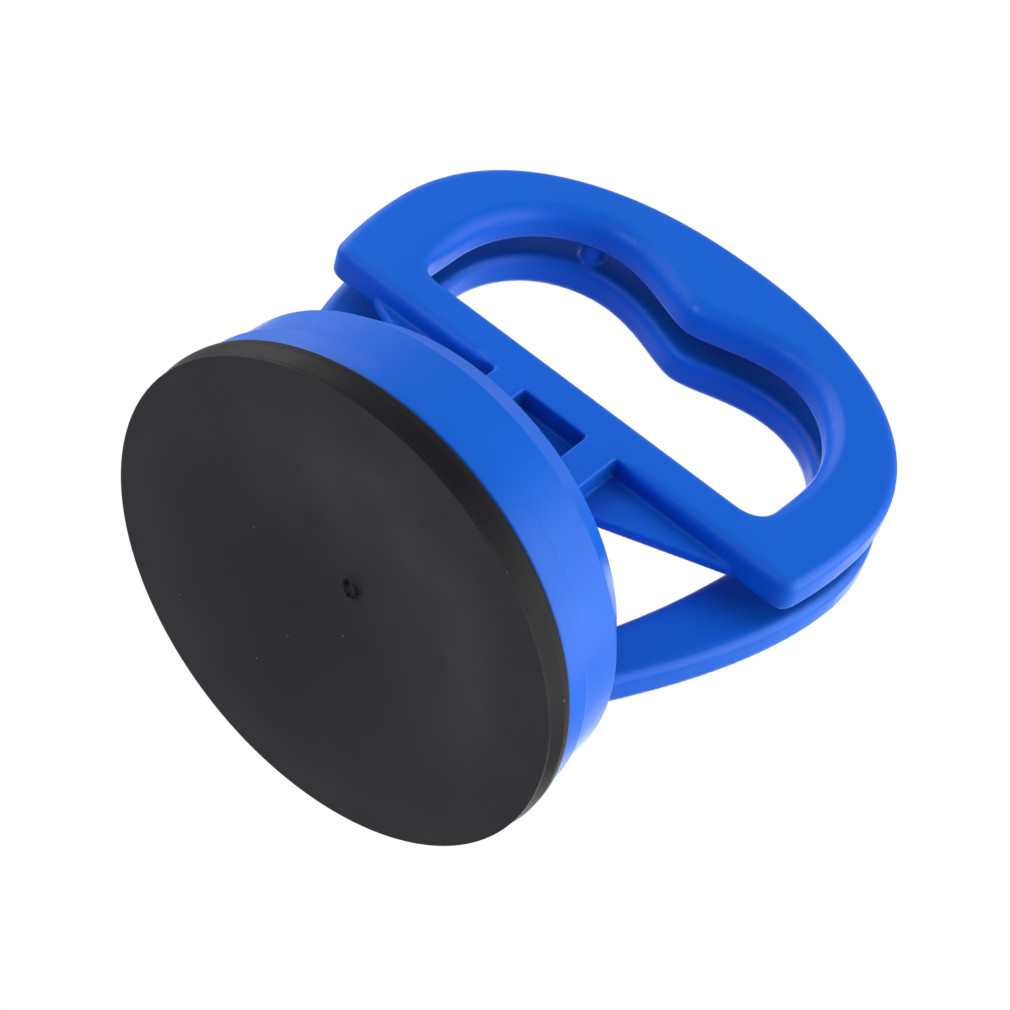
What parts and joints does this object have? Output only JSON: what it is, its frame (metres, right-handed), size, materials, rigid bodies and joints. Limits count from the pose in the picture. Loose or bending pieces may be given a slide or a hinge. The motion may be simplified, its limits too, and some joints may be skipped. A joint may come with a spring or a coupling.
{
  "type": "vacuum suction cup",
  "caption": "Hand suction cup: a rubber pad under a moulded bell with a fixed loop handle, and a hinged cam lever that draws the pad up to grip.",
  "frame": {"origin": "centre of the pad's sealing face, in the plane of its rim", "axes": "+Z along the suction axis from the pad to the handles, X along the pivot pin and the lever's bar, +Y from the lever to the fixed handle"},
  "size_m": [0.0644, 0.0554, 0.0703],
  "materials": {
    "pad_rubber": "satin",
    "stud_steel": "satin",
    "housing_plastic": "satin",
    "lever_plastic": "satin",
    "pin_steel": "satin"
  },
  "bodies": {
    "housing": {"housing": "housing_plastic"},
    "pad": {"suction_pad": "pad_rubber", "pad_stud": "stud_steel", "pivot_pin": "pin_steel"},
    "lever": {"lever": "lever_plastic"}
  },
  "joints": [
    {"name": "pad_travel", "type": "slide", "parent": "housing", "child": "pad", "axis": [0, 0, -1], "range_m": [0, 0.0026]},
    {"name": "lever_swing", "type": "hinge", "parent": "pad", "child": "lever", "pos_m": [0, 0, 0.0225], "axis": [1, 0, 0], "range_deg": [0, 75]}
  ],
  "couplings": [
    {"joint": "pad_travel", "follows": "lever_swing", "m_per_rad": 0.0019862}
  ]
}
